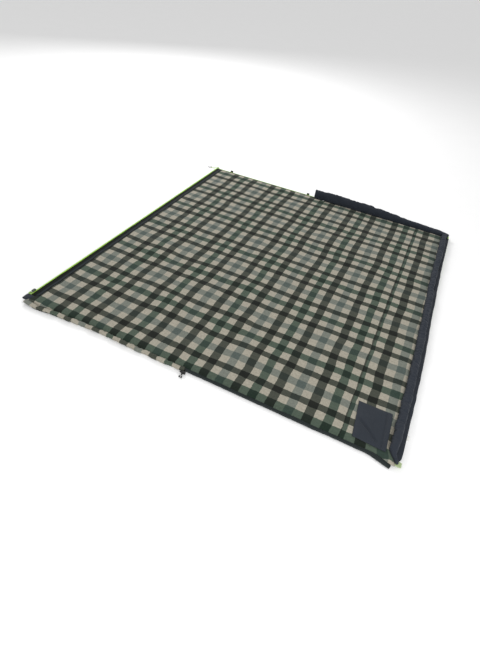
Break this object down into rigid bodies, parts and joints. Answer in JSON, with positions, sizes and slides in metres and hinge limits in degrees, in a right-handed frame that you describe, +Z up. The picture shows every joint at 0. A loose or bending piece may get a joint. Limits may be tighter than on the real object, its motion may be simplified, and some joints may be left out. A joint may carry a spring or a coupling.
{
  "type": "rectangular sleeping bag",
  "caption": "Rectangular sleeping bag unzipped and laid open flat, plaid lining up, with draft tubes, an inner pocket, an L-shaped zip and a drawcord at the head edge.",
  "frame": {"origin": "on the floor, under the middle of the box round the bag as it lies open; the free cord and its lock are left out", "axes": "+X along the head edge from the cover half to the base half, +Y from the head edge to the foot edge, +Z up from the floor; lining side up"},
  "size_m": [2.2178, 2.4272, 0.0938],
  "materials": {
    "shell_fabric": "matte plain-woven polyester in navy charcoal",
    "tube_fabric": "matte plain-woven polyester in navy charcoal, softly puckered",
    "plaid_lining": "brushed cotton flannel in a cream, blue-grey, green and dark plaid",
    "filling": "white hollow-fibre batting",
    "zip_tape": "black knitted tape with a green cast",
    "lime_zip": "lime moulded coil",
    "slider_paint": "lime painted die casting",
    "lime_webbing": "pale lime woven tape",
    "dark_webbing": "dark woven tape",
    "green_rubber": "dark green moulded rubber",
    "black_plastic": "black moulded plastic",
    "drawcord": "black braided elastic cord",
    "steel": "nickel-plated wire",
    "label": "blank white satin label"
  },
  "bodies": {
    "base_half": {"base_shell": "shell_fabric", "base_insulation": "filling", "base_lining": "plaid_lining", "base_lining_side_panel": "plaid_lining", "pocket": "shell_fabric", "care_label": "label", "zip_flap_side": "shell_fabric", "head_channel": "shell_fabric", "drawcord_eyelet": "black_plastic", "drawcord": "drawcord", "drawcord_tail_upper": "drawcord", "drawcord_tail_lower": "drawcord", "cord_end_upper": "black_plastic", "cord_end_lower": "black_plastic", "zip_tape_side_base": "zip_tape", "zip_tape_foot_base": "zip_tape", "zip_coil_side_base": "lime_zip", "zip_coil_foot_base": "lime_zip", "zip_retainer_pin": "lime_zip", "zip_end_tab": "lime_zip", "zip_end_stop": "black_plastic", "draft_tube_side": "tube_fabric", "draft_tube_side_fill": "filling", "draft_tube_foot": "tube_fabric", "draft_tube_foot_fill": "filling"},
    "cover_half": {"cover_shell": "shell_fabric", "cover_insulation": "filling", "cover_lining": "plaid_lining", "head_facing": "plaid_lining", "zip_tape_side_cover": "zip_tape", "zip_tape_foot_cover": "zip_tape", "zip_coil_side_cover": "lime_zip", "zip_coil_foot_cover": "lime_zip", "zip_retainer_box": "lime_zip", "zip_top_stop": "steel", "zip_garage": "shell_fabric", "zip_facing_side": "shell_fabric", "hanging_loop_left": "dark_webbing", "hanging_loop_right": "dark_webbing", "draft_tube_foot_end": "tube_fabric"},
    "side_slider": {"side_slider_body": "slider_paint"},
    "side_pull": {"side_pull_link": "steel", "side_pull_tab": "green_rubber"},
    "foot_slider": {"foot_slider_body": "slider_paint"},
    "foot_pull": {"foot_pull_strap": "lime_webbing"},
    "foot_ring": {"foot_pull_ring": "steel"},
    "cord_lock": {"cord_lock_barrel": "black_plastic", "cord_lock_spring": "steel"},
    "lock_button": {"cord_lock_button": "black_plastic"}
  },
  "joints": [
    {"name": "cover_fold", "type": "hinge", "parent": "base_half", "child": "cover_half", "pos_m": [0.033, 0, 0.044], "axis": [0, 1, 0], "range_deg": [0, 179], "deforming": ["draft_tube_foot", "draft_tube_foot_fill", "draft_tube_foot_end"]},
    {"name": "side_slide", "type": "slide", "parent": "cover_half", "child": "side_slider", "axis": [0, 1, 0], "range_m": [0, 2.2]},
    {"name": "side_pull_swing", "type": "hinge", "parent": "side_slider", "child": "side_pull", "pos_m": [-1.019, -1.123, 0.0199], "axis": [1, 0, 0], "range_deg": [0, 155]},
    {"name": "foot_slide", "type": "slide", "parent": "cover_half", "child": "foot_slider", "axis": [1, 0, 0], "range_m": [0, 1.01]},
    {"name": "foot_pull_swing", "type": "hinge", "parent": "foot_slider", "child": "foot_pull", "pos_m": [-1.007, 1.1853, 0.0213], "axis": [0, 1, 0], "range_deg": [0, 150]},
    {"name": "ring_swing", "type": "hinge", "parent": "foot_pull", "child": "foot_ring", "pos_m": [-1.076, 1.1853, 0.0038], "axis": [0, 1, 0], "range_deg": [0, 120]},
    {"name": "cord_lock_slide", "type": "slide", "parent": "base_half", "child": "cord_lock", "axis": [0, -1, 0], "range_m": [0, 0.007], "deforming": ["drawcord_tail_upper", "drawcord_tail_lower"]},
    {"name": "button_press", "type": "slide", "parent": "cord_lock", "child": "lock_button", "axis": [1, 0, 0], "range_m": [0, 0.004], "stiffness_N_per_m": 500, "springref_m": -0.004, "deforming": ["cord_lock_spring"]}
  ]
}
